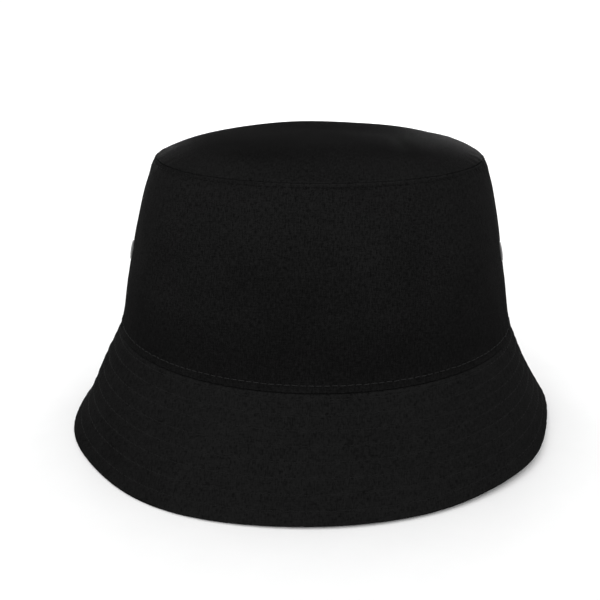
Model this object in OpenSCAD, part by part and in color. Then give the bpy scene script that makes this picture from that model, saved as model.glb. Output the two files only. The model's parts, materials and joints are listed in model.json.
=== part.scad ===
// A bucket hat of cotton twill, standing on its hem.
// The origin is on the hat's axis at the level of the hem. The wearer faces -Y and +Z is up.
// Every layer of cloth is a ring about the axis. Its depth is measured level, inwards from the hat's outer face.

/* [Crown] */
// Head size: girth inside the sweatband at its lower edge
head_size = 580; // [560:5:600]
// Height of the side crown, from the brim seam to the tip seam
crown_height = 80.6; // [76:0.2:86]
// Radius of the crown at the tip seam
tip_r = 77.1; // [74:0.1:80]
// Outward bulge of the side crown at half its height
crown_bulge = 1.7; // [0:0.1:3]
// Rise of the domed tip above its seam
tip_rise = 10.6; // [8:0.2:13]
// Roundness of the dome: a higher number gives a flatter top and a tighter shoulder
tip_roundness = 3.8; // [3:0.1:5]

/* [Brim] */
// Height of the brim seam above the hem
brim_drop = 46.8; // [42:0.2:52]
// How much farther out the hem is than the brim seam
brim_reach = 24.3; // [18:0.1:30]
// Hollow of the brim's slope at its middle
brim_flare = 0.8; // [0:0.1:2]
// Distance of the first stitch row from the brim seam, down the slope
first_row = 2.8; // [2:0.1:4]
// Distance from one brim stitch row to the next
row_pitch = 6.3; // [6:0.1:6.4]

/* [Cloth] */
// Thickness of the twill
cloth_t = 0.6; // [0.5:0.05:0.7]
// Thickness of the stiffener inside the brim
stiffener_t = 0.5; // [0.4:0.05:0.7]
// Thickness of the seam tapes
tape_t = 0.4; // [0.3:0.05:0.5]
// Thickness of the sewing thread
thread_d = 0.45; // [0.3:0.05:0.6]
// Width of cloth turned in at the brim seam
base_allowance = 8; // [7:0.5:10]
// Width of cloth turned in at the tip seam
tip_allowance = 7; // [6:0.5:8]
// Width of cloth turned in at the hem
hem_allowance = 8; // [7:0.5:9]
// Height of the sweatband
sweatband_height = 25; // [22:1:32]
// Height of the crown's stitch line above the brim seam
base_stitch = 2.8; // [2:0.1:4]
// Height of the crown's stitch line below the tip seam
tip_stitch = 1.7; // [1.4:0.1:3]

/* [Eyelets] */
// Height of the eyelets above the brim seam
eyelet_height = 38; // [36:0.5:44]
// Angle of each eyelet from the side seam, about the hat's axis
eyelet_angle = 12; // [10:0.5:20]
// Outer radius of an eyelet's flange
eyelet_r = 4.8; // [4:0.1:5]
// Radius of the air hole through an eyelet
eyelet_hole_r = 2.35; // [2:0.05:2.5]
// How far the flange stands proud of the cloth
eyelet_rise = 0.9; // [0.6:0.1:1.2]

/* [Label] */
// Width of the folded care label
label_w = 26; // [20:1:28]
// Length of the folded care label below its hinge
label_length = 25; // [18:1:26]

/* [Hidden] */
$fn = 128;
gap = 0.02;
facet = 6;
cloth_black = "#171717";
thread_black = "#242424";
metal_black = "#0d0d0d";
label_black = "#2b2b2b";

// Depths of the layers at the foot of the crown, each behind the last
upper_allowance = 2 * cloth_t + gap;
under_allowance = upper_allowance + cloth_t + gap;
sweatband_depth = under_allowance + cloth_t + gap;
seam_r = head_size / (2 * PI) + sweatband_depth + cloth_t;

// Heights
tip_seam_z = brim_drop + crown_height;
side_top_z = tip_seam_z - cloth_t - gap;
tip_hem_z = side_top_z - tip_allowance;
allowance_top_z = brim_drop + base_allowance;
sweatband_top_z = brim_drop + sweatband_height;
sweatband_fold = 5;
eyelet_z = brim_drop + eyelet_height;

// The brim is steep, so its layers are thicker when they are measured level
brim_slope = norm([brim_drop, brim_reach]);
brim_ply = cloth_t * brim_slope / brim_drop;
brim_core = stiffener_t * brim_slope / brim_drop;
brim_thread = (thread_d / 2 + 2 * gap) * brim_slope / brim_drop;
under_depth = brim_ply + brim_core + 2 * gap;
hem_z = hem_allowance * brim_drop / brim_slope;
hem_depth = 2 * brim_ply + gap;

// Tapes inside the crown
tape_low_z = tip_hem_z - 5;
tape_step = 3;
side_allowance_angle = 4;
side_tape_angle = 4.7;
side_stitch_angle = 1.95;

// Eyelet parts, along the eyelet's own axis from the cloth's outer face
barrel_r = eyelet_hole_r + 0.45;
washer_r = eyelet_r - 0.2;
washer_t = 0.4;
washer_back = cloth_t + 0.16;
roll_r = barrel_r + 0.7;
roll_t = 0.5;

label_ply = 0.3;
label_y = 77.8 + tip_r - 77.1;
label_clearance = 0.6;

// Outer radius of the side crown at height z
function crown_r(z) =
    let (f = (z - brim_drop) / crown_height)
    seam_r + (tip_r - seam_r) * f + 4 * crown_bulge * f * (1 - f);

// Outer radius of the brim at height z
function brim_r(z) =
    let (f = 1 - z / brim_drop)
    seam_r + brim_reach * f - 4 * brim_flare * f * (1 - f);

// Height of the tip's outer face at radius r
function tip_z(r) = tip_seam_z + tip_rise * (1 - pow(r / tip_r, tip_roundness));

// Evenly spaced values from a to b, at most one facet apart
function from_to(a, b) =
    let (n = max(1, ceil(abs(b - a) / facet)))
    [for (i = [0:n]) a + (b - a) * i / n];

// A run of points at one depth behind the outer face, from height a to height b
function crown_face(a, b, depth) = [for (z = from_to(a, b)) [crown_r(z) - depth, z]];
function brim_face(a, b, depth) = [for (z = from_to(a, b)) [brim_r(z) - depth, z]];

// The tip's face between the axis and radius r, lowered by depth: closer points at the shoulder
function tip_face(r, depth) = [for (i = [0:14]) let (x = r * pow(i / 14, 0.6)) [x, tip_z(x) - depth]];

function backwards(points) = [for (i = [len(points) - 1:-1:0]) points[i]];

// Height of stitch row number n of the brim
function row_z(n) = brim_drop * (1 - (first_row + (n - 1) * row_pitch) / brim_slope);

// Depth of the brim's underside at height z, where the hem is folded double
function underside_depth(z) = z < hem_z ? 2 * hem_depth - gap : under_depth + brim_ply;

// Sweeps an outline about the hat's axis between two angles
module sweep(from, to) {
    rotate([0, 0, from])
        rotate_extrude(angle = to - from)
            children();
}

module front_half() {
    sweep(180, 360) children();
}

module rear_half() {
    sweep(0, 180) children();
}

// A ring of thread lying on a surface
module thread_ring(r, z) {
    rotate_extrude()
        translate([r, z])
            circle(d = thread_d, $fn = 24);
}

// Puts a piece at the eyelet that stands at an angle round the crown, with +Z pointing out of the cloth
module at_eyelet(angle) {
    step = 1;
    lean = atan((crown_r(eyelet_z - step) - crown_r(eyelet_z + step)) / (2 * step));
    rotate([0, 0, angle])
        translate([crown_r(eyelet_z), 0, eyelet_z])
            rotate([0, 90 - lean, 0])
                children();
}

module crown_tip() {
    rim_r = crown_r(tip_seam_z) - upper_allowance - cloth_t;
    color(cloth_black)
        rotate_extrude()
            polygon(concat(
                tip_face(tip_r, 0),
                crown_face(side_top_z + gap, tip_hem_z, upper_allowance),
                crown_face(tip_hem_z, side_top_z, upper_allowance + cloth_t),
                backwards(tip_face(rim_r, cloth_t))
            ));
}

// Two plies of cloth up the whole height of the side crown
module side_crown_outline() {
    polygon(concat(
        crown_face(brim_drop + gap, side_top_z, 0),
        crown_face(side_top_z, brim_drop + gap, 2 * cloth_t)
    ));
}

// What is taken away to leave one ply between the turned-in edges
module single_ply_outline() {
    polygon(concat(
        crown_face(allowance_top_z, tip_hem_z, cloth_t),
        crown_face(tip_hem_z, allowance_top_z, 3 * cloth_t)
    ));
}

// Half of the side crown, in the half turn that starts at an angle, with its two eyelet holes.
// It is turned in along all four edges.
module side_crown(start) {
    end = start + 180;
    color(cloth_black)
        difference() {
            sweep(start, end)
                side_crown_outline();
            sweep(start + side_allowance_angle, end - side_allowance_angle)
                single_ply_outline();
            for (angle = [start + eyelet_angle, end - eyelet_angle])
                at_eyelet(angle)
                    cylinder(r = barrel_r + gap, h = 5, center = true);
        }
}

module brim_upper_outline() {
    polygon(concat(
        brim_face(0, brim_drop, 0),
        crown_face(brim_drop, allowance_top_z, upper_allowance),
        crown_face(allowance_top_z, brim_drop - cloth_t, upper_allowance + cloth_t),
        brim_face(brim_drop - cloth_t, hem_z, brim_ply),
        brim_face(hem_z, 0, 2 * brim_ply)
    ));
}

module brim_under_outline() {
    seam_z = brim_drop - cloth_t - gap;
    polygon(concat(
        brim_face(0, hem_z, hem_depth),
        brim_face(hem_z, seam_z, under_depth),
        crown_face(seam_z, allowance_top_z, under_allowance),
        crown_face(allowance_top_z, seam_z - cloth_t, under_allowance + cloth_t),
        brim_face(seam_z - cloth_t, hem_z, under_depth + brim_ply),
        brim_face(hem_z, 0, 2 * hem_depth - gap)
    ));
}

module brim_stiffener_outline() {
    low = hem_z + 0.3;
    high = brim_drop - 2 * cloth_t;
    polygon(concat(
        brim_face(low, high, brim_ply + gap),
        brim_face(high, low, brim_ply + gap + brim_core)
    ));
}

module brim_upper_front() {
    color(cloth_black) front_half() brim_upper_outline();
}

module brim_upper_rear() {
    color(cloth_black) rear_half() brim_upper_outline();
}

module brim_under_front() {
    color(cloth_black) front_half() brim_under_outline();
}

module brim_under_rear() {
    color(cloth_black) rear_half() brim_under_outline();
}

module brim_stiffener_front() {
    color("gainsboro") front_half() brim_stiffener_outline();
}

module brim_stiffener_rear() {
    color("gainsboro") rear_half() brim_stiffener_outline();
}

// A strip round the foot of the crown, with its upper edge folded back behind it
module sweatband() {
    fold_z = sweatband_top_z - sweatband_fold;
    color(cloth_black)
        rotate_extrude()
            polygon(concat(
                crown_face(brim_drop, fold_z, sweatband_depth),
                crown_face(fold_z, sweatband_top_z, sweatband_depth - cloth_t),
                crown_face(sweatband_top_z, brim_drop, sweatband_depth + cloth_t)
            ));
}

// A tape over the tip seam. Below the turned-in edges it steps down as far as the doubled side seams let it.
module tip_seam_tape() {
    over = upper_allowance + cloth_t + gap;
    under = 2 * cloth_t + gap;
    top_z = tip_seam_z - 2;
    color(cloth_black)
        rotate_extrude()
            polygon(concat(
                crown_face(tape_low_z, tape_low_z + tape_step, under),
                crown_face(tip_hem_z - gap, top_z, over),
                crown_face(top_z, tip_hem_z - gap, over + tape_t),
                crown_face(tape_low_z + tape_step, tape_low_z, under + tape_t)
            ));
}

module side_seam_tape(angle) {
    low = allowance_top_z + 0.3;
    high = tape_low_z - 0.3;
    depth = 2 * cloth_t + gap;
    color(cloth_black)
        sweep(angle - side_tape_angle, angle + side_tape_angle)
            polygon(concat(
                crown_face(low, high, depth),
                crown_face(high, low, depth + tape_t)
            ));
}

// A rolled metal eyelet: a round-topped flange, a barrel through the cloth and a roll that grips the washer
module eyelet(angle) {
    flange_mid = (eyelet_r + eyelet_hole_r) / 2;
    flange_half = (eyelet_r - eyelet_hole_r) / 2;
    roll_mid = (roll_r + eyelet_hole_r) / 2;
    roll_half = (roll_r - eyelet_hole_r) / 2;
    roll_z = -washer_back - washer_t - gap;
    color(metal_black)
        at_eyelet(angle)
            rotate_extrude()
                polygon(concat(
                    [for (a = [0:15:180]) [flange_mid + flange_half * cos(a), gap + eyelet_rise * sin(a)]],
                    [for (a = [180:15:360]) [roll_mid + roll_half * cos(a), roll_z + roll_t * sin(a)]],
                    [[barrel_r, roll_z], [barrel_r, gap]]
                ));
}

module eyelet_washer(angle) {
    color(metal_black)
        at_eyelet(angle)
            translate([0, 0, -washer_back - washer_t])
                difference() {
                    cylinder(r = washer_r, h = washer_t);
                    translate([0, 0, -1])
                        cylinder(r = barrel_r + gap, h = washer_t + 2);
                }
}

// The needle thread on the side crown and the bobbin thread behind the turned-in edges
module tip_topstitch() {
    z = tip_seam_z - tip_stitch;
    color(thread_black)
        thread_ring(crown_r(z) + thread_d / 2 + gap, z);
}

module crown_base_topstitch() {
    z = brim_drop + base_stitch;
    color(thread_black) {
        thread_ring(crown_r(z) + thread_d / 2 + gap, z);
        thread_ring(crown_r(z) - sweatband_depth - cloth_t - thread_d / 2 - gap, z);
    }
}

module sweatband_topstitch() {
    z = sweatband_top_z - sweatband_fold / 2;
    color(thread_black)
        thread_ring(crown_r(z) - sweatband_depth - cloth_t - thread_d / 2 - gap, z);
}

// Two stitch lines up the side crown, one on each side of the side seam
module side_topstitch(angle) {
    low = brim_drop + base_stitch + 1;
    high = tip_seam_z - tip_stitch - 1;
    half_angle = atan(thread_d / 2 / tip_r);
    color(thread_black)
        for (side = [-1, 1])
            sweep(angle + side * side_stitch_angle - half_angle, angle + side * side_stitch_angle + half_angle)
                polygon(concat(
                    crown_face(low, high, -gap - thread_d),
                    crown_face(high, low, -gap)
                ));
}

// One ring of stitching through the brim: needle thread above and bobbin thread below
module brim_stitch_row(n) {
    z = row_z(n);
    color(thread_black) {
        thread_ring(brim_r(z) + brim_thread, z);
        thread_ring(brim_r(z) - underside_depth(z) - brim_thread, z);
    }
}

// A tape folded in two, hanging inside the rear of the crown from the tip seam tape.
// Its sewn edge is rolled round the line it swings about.
module care_label() {
    top = tape_low_z - label_clearance;
    fold_r = 1.5 * label_ply;
    bottom = top - label_length + fold_r;
    color(label_black)
        translate([0, label_y, 0])
            rotate([90, 0, 90])
                difference() {
                    union() {
                        linear_extrude(height = label_w, center = true)
                            translate([-fold_r, bottom])
                                square([2 * fold_r, top - bottom]);
                        for (z = [bottom, top])
                            translate([0, z, 0])
                                cylinder(r = fold_r, h = label_w, center = true);
                    }
                    linear_extrude(height = label_w + 2, center = true)
                        translate([-label_ply / 2, bottom])
                            square([label_ply, top - bottom - fold_r]);
                }
}

crown_tip();
side_crown(180);  // side_crown_front
side_crown(0);  // side_crown_rear
brim_upper_front();
brim_upper_rear();
brim_under_front();
brim_under_rear();
brim_stiffener_front();
brim_stiffener_rear();
sweatband();
tip_seam_tape();
side_seam_tape(180);  // side_seam_tape_left
side_seam_tape(0);  // side_seam_tape_right
eyelet(180 + eyelet_angle);  // eyelet_left_front
eyelet(180 - eyelet_angle);  // eyelet_left_rear
eyelet(-eyelet_angle);  // eyelet_right_front
eyelet(eyelet_angle);  // eyelet_right_rear
eyelet_washer(180 + eyelet_angle);  // eyelet_washer_left_front
eyelet_washer(180 - eyelet_angle);  // eyelet_washer_left_rear
eyelet_washer(-eyelet_angle);  // eyelet_washer_right_front
eyelet_washer(eyelet_angle);  // eyelet_washer_right_rear
tip_topstitch();
crown_base_topstitch();
sweatband_topstitch();
side_topstitch(180);  // side_topstitch_left
side_topstitch(0);  // side_topstitch_right
brim_stitch_row(1);  // brim_stitch_row_1
brim_stitch_row(2);  // brim_stitch_row_2
brim_stitch_row(3);  // brim_stitch_row_3
brim_stitch_row(4);  // brim_stitch_row_4
brim_stitch_row(5);  // brim_stitch_row_5
brim_stitch_row(6);  // brim_stitch_row_6
brim_stitch_row(7);  // brim_stitch_row_7
brim_stitch_row(8);  // brim_stitch_row_8
care_label();
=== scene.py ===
"""A black cotton-twill bucket hat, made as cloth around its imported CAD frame. All lengths are in metres."""

import json
import math

import bpy
import numpy as np
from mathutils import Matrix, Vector


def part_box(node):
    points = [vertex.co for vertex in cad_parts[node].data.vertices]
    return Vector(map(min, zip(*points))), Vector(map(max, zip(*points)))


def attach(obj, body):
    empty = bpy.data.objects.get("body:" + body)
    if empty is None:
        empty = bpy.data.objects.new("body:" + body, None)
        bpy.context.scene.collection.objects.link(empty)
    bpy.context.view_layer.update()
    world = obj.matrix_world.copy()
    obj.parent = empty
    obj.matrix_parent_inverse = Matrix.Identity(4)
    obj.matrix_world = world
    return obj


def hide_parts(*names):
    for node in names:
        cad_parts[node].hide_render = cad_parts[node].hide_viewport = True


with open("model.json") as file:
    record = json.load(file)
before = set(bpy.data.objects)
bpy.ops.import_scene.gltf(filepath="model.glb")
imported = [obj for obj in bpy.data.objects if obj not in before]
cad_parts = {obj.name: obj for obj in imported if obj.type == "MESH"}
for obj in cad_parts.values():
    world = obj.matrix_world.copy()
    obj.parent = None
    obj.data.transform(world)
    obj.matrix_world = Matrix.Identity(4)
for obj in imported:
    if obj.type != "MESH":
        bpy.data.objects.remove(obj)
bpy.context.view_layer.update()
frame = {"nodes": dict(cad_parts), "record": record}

MM = 0.001
TAU = 2 * math.pi
FRONT = -math.pi / 2
REAR = math.pi / 2
HALVES = {"front": FRONT, "rear": REAR}
SIDES = {"left": math.pi, "right": 0.0}

# Cloth and thread
TWILL = 0.6 * MM
LAYER = TWILL + 0.02 * MM
TAPE = 0.4 * MM
THREAD = 0.42 * MM
STITCH = 3.2 * MM
TURN_IN = 8 * MM
TIP_TURN_IN = 7 * MM
SIDE_STITCH = 2.9 * MM
EYELET_CUT = 3.5 * MM

# Depths of the middle of each ply behind the hat's outer line
FIRST = TWILL / 2
SECOND = FIRST + LAYER
THIRD = SECOND + LAYER
FOURTH = THIRD + LAYER
BAND = FOURTH + LAYER
BRIM_CORE = 0.8 * MM
BRIM_UNDER = 1.5 * MM
BRIM_BACK = BRIM_UNDER + TWILL / 2

# How the hat stands in the photograph
OFF_CENTRE = 0.5 * MM
CROWN_LEAN = 1.4 * MM
BRIM_SHIFT = 1.3 * MM
RIGHT_LIFT = 3.2 * MM
RIGHT_FRONT_LIFT = 1.2 * MM
REAR_LIFT = 0.45 * MM
TIP_DRAWN_IN = 0.6 * MM

# Where the brim stands out or in: how far, at which turn, how wide, and how closely it keeps to the hem
FLARES = [
    (3.7 * MM, -2.12, 0.36, 1.4),
    (1.6 * MM, -2.78, 0.25, 5),
    (0.8 * MM, -0.62, 0.18, 3),
    (-2.0 * MM, -0.28, 0.25, 3),
]
LEFT_TUCK = 2.6 * MM

# The cloth's tone along the outer line, with places in mm: hem, brim seam at 0, tip seam at 83, top of the
# dome.
# It holds painted light and shade: the upward-facing brim paler, darker just above the brim seam where the
# brim shades it, and darker in the middle of the tip; palest at the hem.
PAINTED_LIGHT_AND_WEAR_AT_MM = [-54, -50, -44, -3, 0, 6, 22, 30, 60, 79, 83, 88, 112, 150, 165]
PAINTED_LIGHT_AND_WEAR = [1.38, 1.2, 1.16, 1.2, 0.72, 0.68, 0.68, 0.84, 0.9, 0.98, 1.0, 0.86, 0.6, 0.46, 0.46]

# Fullness of the cut panels: how much their radius grows along the cloth
CROWN_CONE = 0.22
BRIM_CONE = 0.46


# ---- the hat's outer line, read from the frame

def hit(node, start, way):
    """Where a ray first meets a CAD node at rest."""
    found, place, _, _ = frame["nodes"][node].ray_cast(Vector(start), Vector(way))
    if not found:
        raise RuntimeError(f"no face of {node} was found from {start}")
    return place


def fitted(x, y, degree):
    """A smooth curve through measured points."""
    return np.poly1d(np.polyfit(x, y, degree))


def softened(values, spread):
    """Values smoothed along themselves, which rounds a line's corners. The ends stay."""
    half = int(3 * spread)
    weights = np.exp(-0.5 * (np.arange(-half, half + 1) / spread) ** 2)
    before = 2 * values[0] - values[half:0:-1]
    after = 2 * values[-1] - values[-2:-half - 2:-1]
    return np.convolve(np.concatenate([before, values, after]), weights / weights.sum(), "valid")


def hat_line():
    """The outer line from the hem to the middle of the tip: distances along it from the brim seam, r, z and
    normals, then the tip seam's distance, and both seams' heights."""
    edge = 0.5 * MM
    seam_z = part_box("side_crown_front")[0].z
    tip_seam_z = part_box("side_crown_front")[1].z + LAYER
    at = np.linspace(seam_z + edge, tip_seam_z - LAYER - edge, 9)
    crown_r = fitted(at, [-hit("side_crown_front", (0, -0.3, z), (0, 1, 0)).y for z in at], 2)
    at = np.linspace(edge, seam_z - edge, 9)
    brim_r = fitted(at, [-hit("brim_upper_front", (0, -0.3, z), (0, 1, 0)).y for z in at], 2)
    tip_r = crown_r(tip_seam_z)
    at = np.linspace(0, 0.99 * tip_r, 14)
    dome_z = fitted(at, [hit("crown_tip", (0, -r, 0.3), (0, 0, -1)).z for r in at], 6)
    brim_at = np.linspace(0, seam_z, 300)
    crown_at = np.linspace(seam_z, tip_seam_z, 500)[1:]
    dome_at = np.linspace(tip_r, 0, 500)[1:]
    r = np.concatenate([brim_r(brim_at), crown_r(crown_at), dome_at])
    z = np.concatenate([brim_at, crown_at, dome_z(dome_at)])
    along = np.concatenate([[0], np.cumsum(np.hypot(np.diff(r), np.diff(z)))])
    seam_at = along[len(brim_at) - 1]
    tip_at = along[len(brim_at) + len(crown_at) - 1]
    even = np.linspace(0, along[-1], int(along[-1] / (0.2 * MM)))
    r, z = softened(np.interp(even, along, r), 4), softened(np.interp(even, along, z), 4)
    dr, dz = np.gradient(r), np.gradient(z)
    size = np.hypot(dr, dz)
    return even - seam_at, r, z, dz / size, -dr / size, tip_at - seam_at, seam_z, tip_seam_z


LINE_S, LINE_R, LINE_Z, LINE_NR, LINE_NZ, TIP_S, SEAM_Z, TIP_Z = hat_line()
HEM_S = LINE_S[0]
TOP_S = LINE_S[-1]


def radius(s):
    """Radius of the outer line at s."""
    return np.interp(s, LINE_S, LINE_R)


def height_to_s(z):
    """Distance along the outer line at height z."""
    wall = LINE_S <= TIP_S
    return float(np.interp(z, LINE_Z[wall], LINE_S[wall]))


def middle(node):
    """The middle of a CAD node's box."""
    low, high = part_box(node)
    return (low + high) / 2


ROWS = [height_to_s(middle(f"brim_stitch_row_{n}").z) for n in range(1, 9)]
BASE_STITCH = height_to_s(middle("crown_base_topstitch").z)
TIP_STITCH = height_to_s(middle("tip_topstitch").z)
BAND_STITCH = height_to_s(middle("sweatband_topstitch").z)
BAND_TOP = height_to_s(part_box("sweatband")[1].z)
TAPE_LOW = height_to_s(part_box("tip_seam_tape")[0].z)
TAPE_HIGH = height_to_s(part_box("tip_seam_tape")[1].z)


def eyelet_place(node):
    """Turn and s of an eyelet's flange, a little above the middle of its box."""
    at = middle(node)
    return math.atan2(at.y, at.x), height_to_s(at.z + 0.08 * MM)


EYELETS = {f"{side}_{end}": eyelet_place(f"eyelet_{side}_{end}") for side in SIDES for end in HALVES}


# ---- how the cloth lies

def bump(x, width):
    """1 at x = 0, falling smoothly to 0 a few widths away."""
    return np.exp(-((x / width) ** 2))


def smooth(x):
    """0 below 0, 1 above 1, and a smooth step between."""
    x = np.clip(x, 0, 1)
    return x * x * (3 - 2 * x)


def ripples(seed, turn, s, low, high, along, count=24):
    """Soft random waves of unit size: low to high of them in a full turn, and up to along in a metre of s."""
    rng = np.random.default_rng(seed)
    total = np.zeros(np.broadcast(turn, s).shape)
    for _ in range(count):
        n = rng.integers(low, high + 1)
        slope = TAU * rng.uniform(-along, along)
        total += np.cos(n * turn + slope * s + rng.uniform(0, TAU))
    return total * math.sqrt(2 / count)


def stitches_round(s):
    """How many stitches fit round the hat at s."""
    return int(round(TAU * radius(s) / STITCH))


def groove(turn, s, row, depth, width, seed):
    """The groove that a stitch row pulls into the cloth, deepest where the needle went in."""
    holes = 0.7 + 0.3 * np.cos(stitches_round(row) * turn)
    uneven = 1 + 0.2 * ripples(seed, turn, 0 * s, 8, 60, 0, 12)
    return -depth * bump(s - row, width) * holes * uneven


def brim_relief(turn, s):
    """Height of the quilted brim: a groove at each row, with a soft roll and fine puckers between rows."""
    edges = [0.0, *ROWS, HEM_S]
    height = -0.1 * MM
    for i, (high, low) in enumerate(zip(edges[:-1], edges[1:])):
        inside = (s <= high) & (s > low)
        arch = np.sin(math.pi * np.clip((s - low) / (high - low), 0, 1)) ** 0.8
        swell = 0.26 * MM * (1 + 0.25 * ripples(40 + i, turn, s, 20, 70, 20, 14))
        pucker = 0.08 * MM * ripples(60 + i, turn, s, 80, 170, 70, 18)
        height = height + np.where(inside, arch * (swell + pucker), 0)
    for i, row in enumerate(ROWS):
        height = height + groove(turn, s, row, 0.17 * MM, 0.75 * MM, 80 + i)
    return height


def crown_relief(turn, s):
    """Height of the side crown: a roll over the brim seam, stitch grooves with faint pulls, ridges over what
    is sewn behind it, and a slight drape."""
    roll = 0.2 * MM * bump(s - 1.1 * MM, 1.2 * MM) + 0.18 * MM * bump(s - BASE_STITCH - 2.4 * MM, 2.2 * MM)
    base = groove(turn, s, BASE_STITCH, 0.26 * MM, 0.8 * MM, 21)
    low_pulls = 0.11 * MM * pull(s - BASE_STITCH, 7 * MM) * ripples(22, turn, s, 50, 120, 25)
    under_tip = groove(turn, s, TIP_STITCH, 0.2 * MM, 0.7 * MM, 23)
    high_pulls = 0.1 * MM * pull(TIP_STITCH - s, 6 * MM) * ripples(24, turn, s, 40, 110, 25)
    turned_in = 0.14 * MM * smooth((s - TIP_S + TIP_TURN_IN + 1 * MM) / (2 * MM))
    band = 0.16 * MM * smooth((BAND_TOP + 2 * MM - s) / (4 * MM))
    off_seams = smooth(s / (6 * MM)) * smooth((TIP_S - s) / (6 * MM))
    upright = -0.75 * MM * np.cos(1.15 * math.pi * s / TIP_S - 0.6) * off_seams
    loose = np.sin(math.pi * np.clip(s / TIP_S, 0, 1)) ** 0.7
    drape = 0.3 * MM * ripples(25, turn, s, 3, 10, 12) + 0.07 * MM * ripples(26, turn, s, 14, 40, 45)
    stitched = roll + base + low_pulls + under_tip + high_pulls + turned_in
    return stitched + band + upright + loose * drape + side_seam(turn, s) + pressed_in(turn, s)


def pull(away, reach):
    """How much of a seam's pull is left at a distance from it."""
    return np.exp(-np.clip(away, 0, None) / reach)


def pressed_in(turn, s):
    """How deep the eyelets' flanges are pressed into the cloth."""
    away = [np.hypot(nearest(turn - at) * radius(s), s - eyelet_s) for at, eyelet_s in EYELETS.values()]
    return -0.5 * MM * bump(np.min(away, axis=0), 6 * MM)


def side_seam(turn, s):
    """The ridge of the turned-in cloth at each side seam, with the seam's cleft and its stitches' grooves."""
    away = np.abs(np.arcsin(np.sin(turn))) * radius(s)
    cleft = -0.3 * MM * bump(away, 0.4 * MM)
    ridge = 0.16 * MM * (1 - smooth((away - 5 * MM) / (2 * MM)))
    return cleft + ridge - 0.15 * MM * bump(away - SIDE_STITCH, 0.6 * MM)


def dome_relief(turn, s):
    """Height of the tip: a puffed edge, fullest at the right rear, small pulls beside the seam, a slight
    fullness, and one soft crease at the front right."""
    inwards = s - TIP_S
    puff = 0.12 * MM * bump(inwards - 2.0 * MM, 2.4 * MM)
    puff = puff + 1.8 * MM * bump(nearest(turn - 0.6), 0.4) * bump(inwards - 4 * MM, 7 * MM)
    pulls = 0.07 * MM * pull(inwards, 7 * MM) * ripples(31, turn, s, 30, 80, 15)
    off_middle = smooth(radius(s) / (40 * MM))
    soft = 0.12 * MM * ripples(32, turn, s, 2, 5, 14, 10) * off_middle * smooth(inwards / (20 * MM))
    x, y = radius(s) * np.cos(turn), radius(s) * np.sin(turn)
    full = 0.6 * MM * bump(x - 12 * MM, 34 * MM) * smooth(inwards / (14 * MM))
    reach = smooth((-y - 8 * MM) / (18 * MM)) * smooth((TOP_S - s - 10 * MM) / (10 * MM))
    reach = reach * smooth((inwards - 1 * MM) / (8 * MM))
    across = x - 29 * MM - 0.16 * (-y - 18 * MM) - 2 * MM * np.sin(-y / (16 * MM))
    crease = 0.08 * MM * bump(across + 2.2 * MM, 3.6 * MM) - 0.25 * MM * bump(across - 3.6 * MM, 4.6 * MM)
    return puff + full + pulls + soft + crease * reach


def relief(turn, s):
    """Height of the outermost cloth over the hat's outer line."""
    turn, s = np.broadcast_arrays(turn, s)
    height = np.empty(s.shape)
    parts = [(s < 0, brim_relief), ((s >= 0) & (s <= TIP_S), crown_relief), (s > TIP_S, dome_relief)]
    for part, field in parts:
        if part.any():
            height[part] = field(turn[part], s[part])
    return height


def cloth_tone_and_painted_light(turn, s):
    """The cloth's tone, around 1: palest at the hem, paler beside the brim rows, paler on raised cloth and
    darker in its hollows, with a faint random tone. It also holds painted light and shade: the brim paler,
    the seams' grooves paler against their shade, the crown's sides and the tip's front rim paler as painted
    sheen, and darker just above the brim seam, in the middle and at the rear of the tip as painted shade."""
    tone_and_light = np.interp(s / MM, PAINTED_LIGHT_AND_WEAR_AT_MM, PAINTED_LIGHT_AND_WEAR)
    from_front = nearest(turn - FRONT)
    fields = [brim_tone_and_painted_light(turn, s, from_front), crown_painted_light(turn, s, from_front)]
    tone_and_light = tone_and_light + np.select([s < 0, s < TIP_S], fields, tip_painted_light(turn, s, from_front))
    # painted light: paler in the brim seam's groove, against its shade
    tone_and_light = tone_and_light + 1.4 * bump(s + 0.6 * MM, 0.6 * MM)
    right = smooth((np.sin(from_front) + 0.43) / 0.38)
    # painted light: the tip seam's groove paler on the right, against its shade
    tone_and_light = tone_and_light + 1.0 * bump(s - TIP_S, 0.8 * MM) * right
    height = relief(turn, s)
    ridge = np.clip((height - np.median(height)) / (0.5 * MM), -1, 1)
    return tone_and_light * (1 + 0.12 * ridge) * (1 + 0.05 * ripples(71, turn, s, 1, 7, 12, 12))


def brim_tone_and_painted_light(turn, s, from_front):
    """The brim's extra tone: paler beside the rows, and paler on both sides of the front as painted light."""
    # painted light: paler on both sides of the front
    painted_side_light = 0.3 * bump(from_front + 0.42, 0.24) + 0.22 * bump(from_front - 0.42, 0.28) - 0.06
    beside_rows = np.max([bump(s - row, 0.8 * MM) for row in ROWS], axis=0)
    return painted_side_light + 0.55 * beside_rows * (1 + 0.6 * ripples(72, turn, s, 20, 90, 110, 14))


def crown_painted_light(turn, s, from_front):
    """The side crown's painted light and shade: paler towards its sides as painted rim light, darker low in
    front and high on the left as painted shade.
    """
    # painted rim light: paler towards the sides
    painted_side_light = 0.2 * smooth(np.abs(from_front) / 0.7) * smooth((s - 8 * MM) / (22 * MM))
    painted_side_light = painted_side_light + 0.45 * np.abs(np.cos(turn)) ** 14
    # painted shade: darker low in front and high on the left
    front = 0.3 * bump(from_front + 0.08, 0.2) * bump(s - 36 * MM, 11 * MM)
    painted_shade_high_left = 0.2 * bump(from_front + 0.85, 0.3) * bump(s - 66 * MM, 14 * MM)
    return (painted_side_light - front - painted_shade_high_left) * smooth((TIP_S - s) / (4 * MM))


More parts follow.
